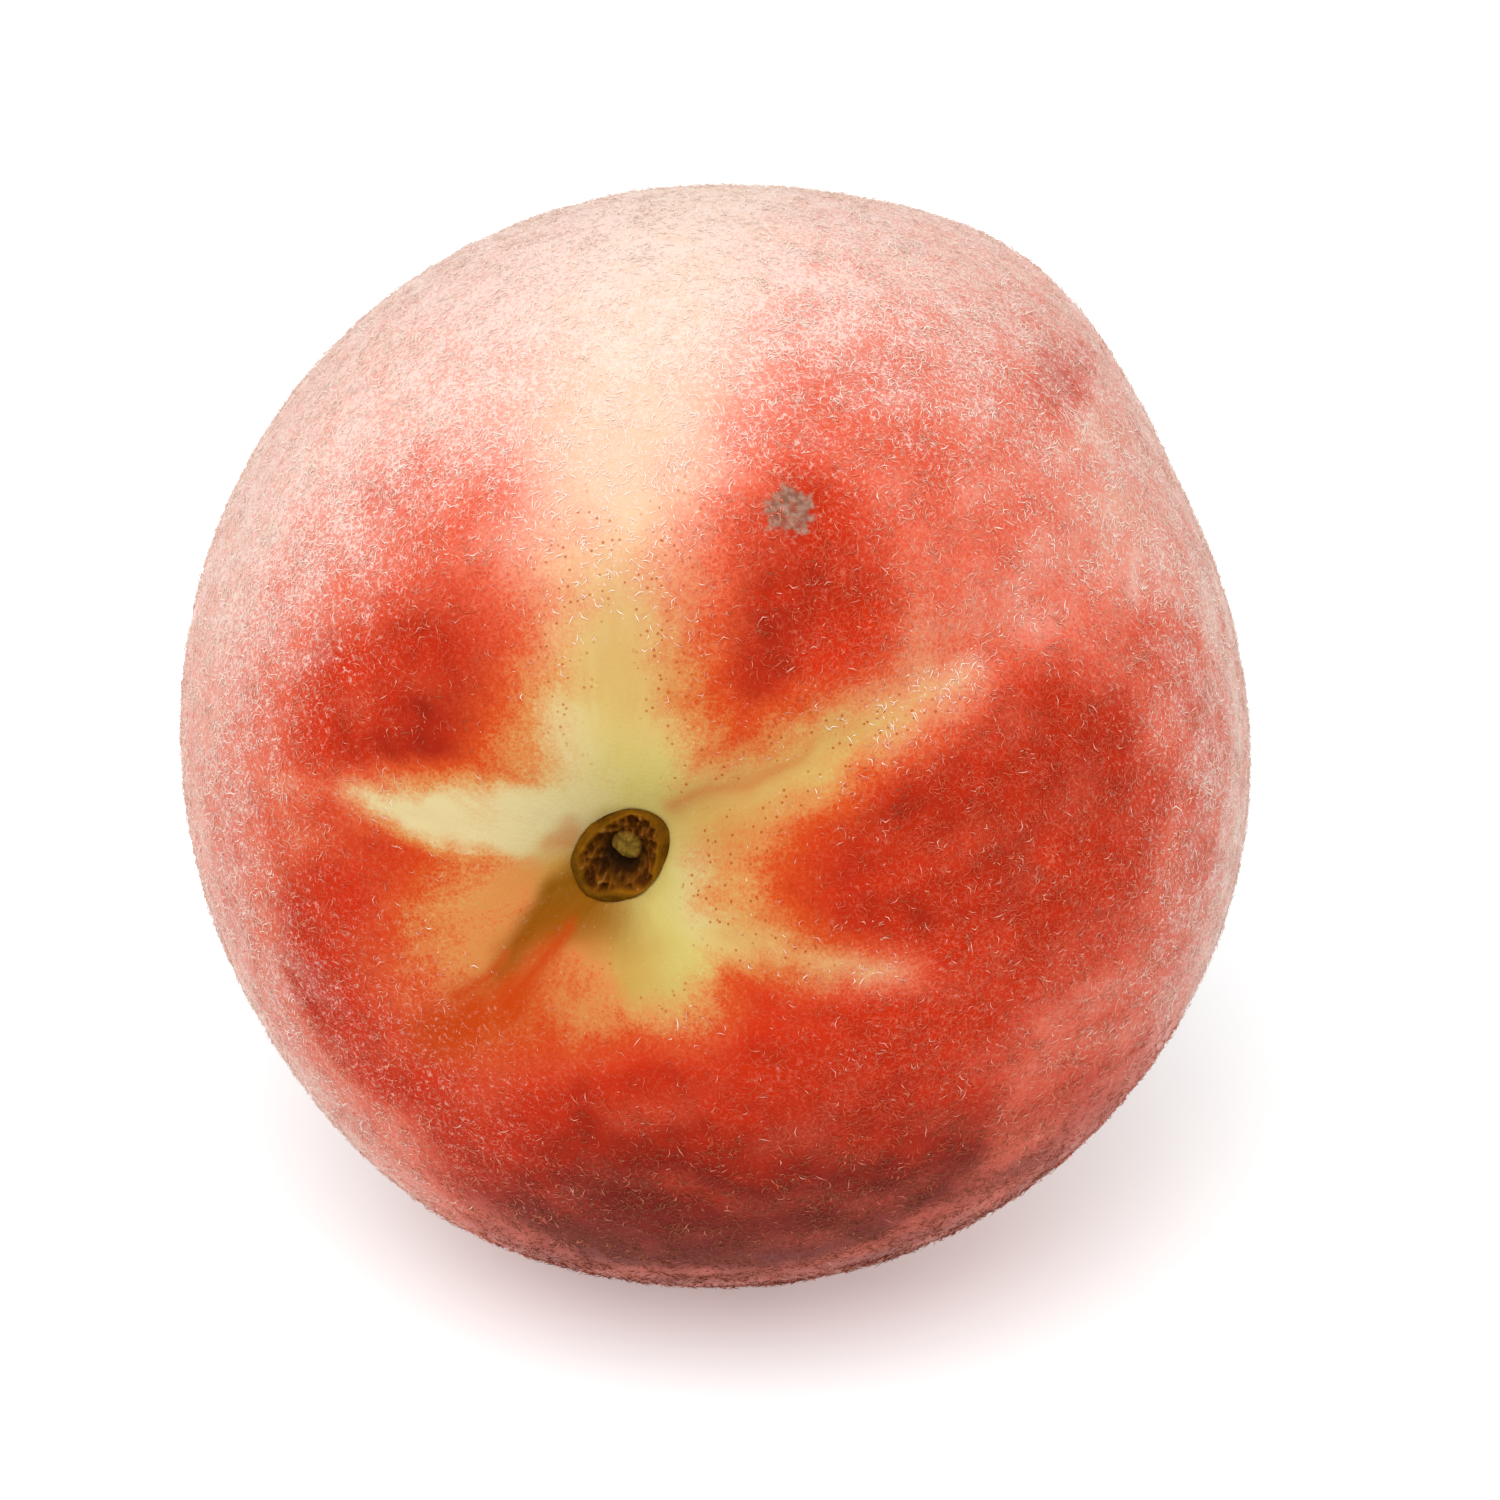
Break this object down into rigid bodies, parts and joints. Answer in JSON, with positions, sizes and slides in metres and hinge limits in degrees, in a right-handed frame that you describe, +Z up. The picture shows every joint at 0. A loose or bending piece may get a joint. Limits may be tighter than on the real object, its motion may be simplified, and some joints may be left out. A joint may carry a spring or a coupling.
{
  "type": "peach",
  "caption": "Whole ripe peach lying on its side, with a stem cavity, a seam over one shoulder, a blunt tip and the dried stem base left in the cavity.",
  "frame": {"origin": "on the surface the peach lies on, under the middle of its box", "axes": "+Z up; the stem cavity looks towards -Y, a little up and a little towards -X; the seam runs from it up and towards +X"},
  "size_m": [0.0718, 0.068, 0.074],
  "materials": {
    "skin": "downy fruit skin, pale yellow round the stem and blushed red over the cheeks, soft and matt",
    "stem": "dried, torn stem tissue, brown and crumbly with an ochre rim"
  },
  "bodies": {
    "root": {"peach_fruit": "skin", "stem_stub": "stem"}
  },
  "joints": []
}
